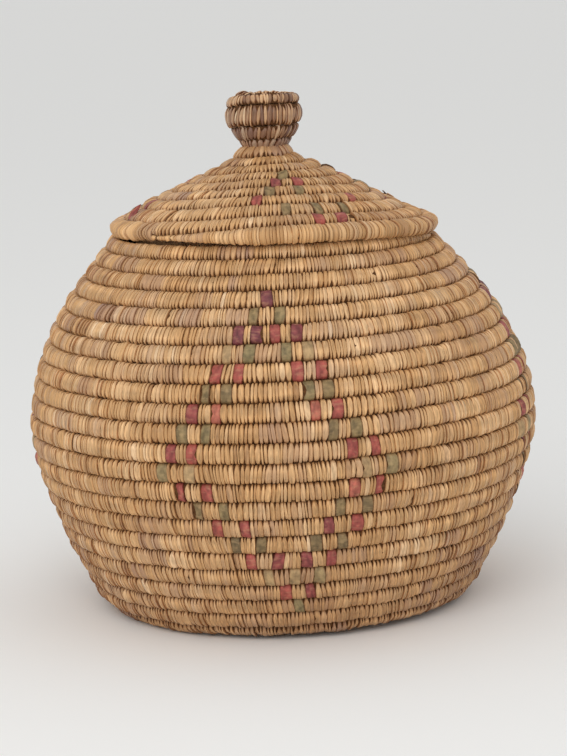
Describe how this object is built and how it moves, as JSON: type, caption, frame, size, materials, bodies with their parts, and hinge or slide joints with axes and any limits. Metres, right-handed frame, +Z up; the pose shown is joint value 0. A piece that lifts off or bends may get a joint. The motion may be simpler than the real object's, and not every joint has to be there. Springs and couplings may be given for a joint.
{
  "type": "lidded coiled grass basket",
  "caption": "Round lidded basket of coiled, sewn grass with a stepped diamond pattern; the knobbed lid lifts off to open it.",
  "frame": {"origin": "middle of the flat underside of the base, on the surface that the basket stands on", "axes": "+Z up along the basket's axis to the knob, -Y to the front, where the diamond pattern is"},
  "size_m": [0.1793, 0.1792, 0.1812],
  "materials": {
    "wall_grass": "split dried grass, satin, sewn over a grass bundle",
    "base_grass": "split dried grass, dull with use",
    "lid_grass": "split dried grass, satin, sewn over a grass bundle",
    "knob_grass": "split dried grass, browned by handling"
  },
  "bodies": {
    "basket": {"base_start": "base_grass", "base_coil": "base_grass", "wall_round_01": "wall_grass", "wall_round_02": "wall_grass", "wall_round_03": "wall_grass", "wall_round_04": "wall_grass", "wall_round_05": "wall_grass", "wall_round_06": "wall_grass", "wall_round_07": "wall_grass", "wall_round_08": "wall_grass", "wall_round_09": "wall_grass", "wall_round_10": "wall_grass", "wall_round_11": "wall_grass", "wall_round_12": "wall_grass", "wall_round_13": "wall_grass", "wall_round_14": "wall_grass", "wall_round_15": "wall_grass", "wall_round_16": "wall_grass", "wall_round_17": "wall_grass", "wall_round_18": "wall_grass", "wall_round_19": "wall_grass", "wall_round_20": "wall_grass", "wall_round_21": "wall_grass", "wall_round_22": "wall_grass", "wall_round_23": "wall_grass"},
    "lid": {"knob_core": "knob_grass", "knob_round_1": "knob_grass", "knob_round_2": "knob_grass", "knob_round_3": "knob_grass", "knob_round_4": "knob_grass", "lid_round_01": "lid_grass", "lid_round_02": "lid_grass", "lid_round_03": "lid_grass", "lid_round_04": "lid_grass", "lid_round_05": "lid_grass", "lid_round_06": "lid_grass", "lid_round_07": "lid_grass", "lid_round_08": "lid_grass", "lid_round_09": "lid_grass", "lid_round_10": "lid_grass", "lid_seat_ring": "lid_grass"}
  },
  "joints": [
    {"name": "lid_lift", "type": "slide", "parent": "basket", "child": "lid", "axis": [0, 0, 1], "range_m": [0, 0.12]}
  ]
}
